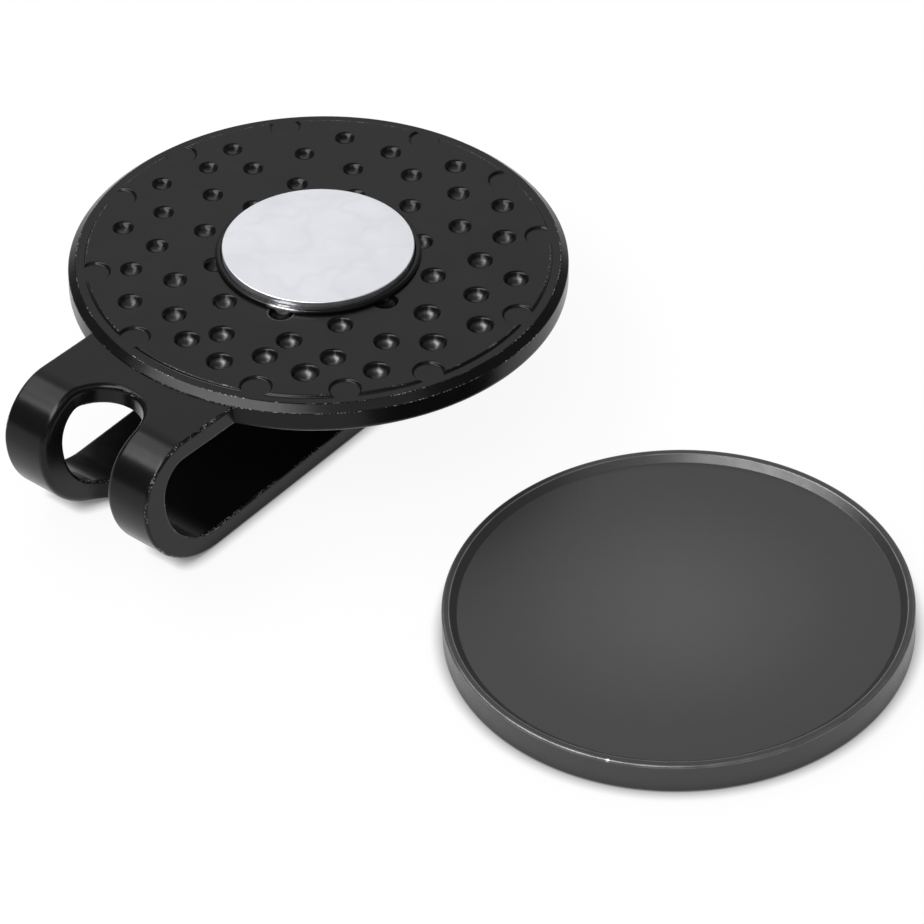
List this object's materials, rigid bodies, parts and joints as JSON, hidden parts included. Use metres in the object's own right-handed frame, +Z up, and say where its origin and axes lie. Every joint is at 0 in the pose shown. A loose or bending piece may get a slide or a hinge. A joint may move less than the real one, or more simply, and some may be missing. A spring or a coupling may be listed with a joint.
{
  "type": "golf ball marker with cap clip",
  "caption": "Cap clip for golf: a dimpled round plate on a slotted hairpin spring, with a magnet in its middle that holds a loose round marker disc, lying beside it.",
  "frame": {"origin": "on the sole of the clip's lower leg, straight below the centre of the round plate", "axes": "+Z up, out of the plate's dimpled face; the bend of the hairpin points to -Y and the open jaw to +Y; the loose marker disc lies on the +X side"},
  "size_m": [0.0521, 0.0319, 0.0085],
  "materials": {
    "black_coat": "satin black coat over metal",
    "nickel": "bright nickel plating, faintly wavy",
    "glue": "cured clear glue",
    "marker_grey": "satin dark grey plating on steel"
  },
  "bodies": {
    "clip": {"clip_body": "black_coat", "magnet": "nickel", "magnet_adhesive": "glue"},
    "marker": {"marker_disc": "marker_grey"}
  },
  "joints": [
    {"name": "marker_lift", "type": "slide", "parent": "clip", "child": "marker", "axis": [0, 0, 1], "range_m": [0, 0.03]}
  ]
}
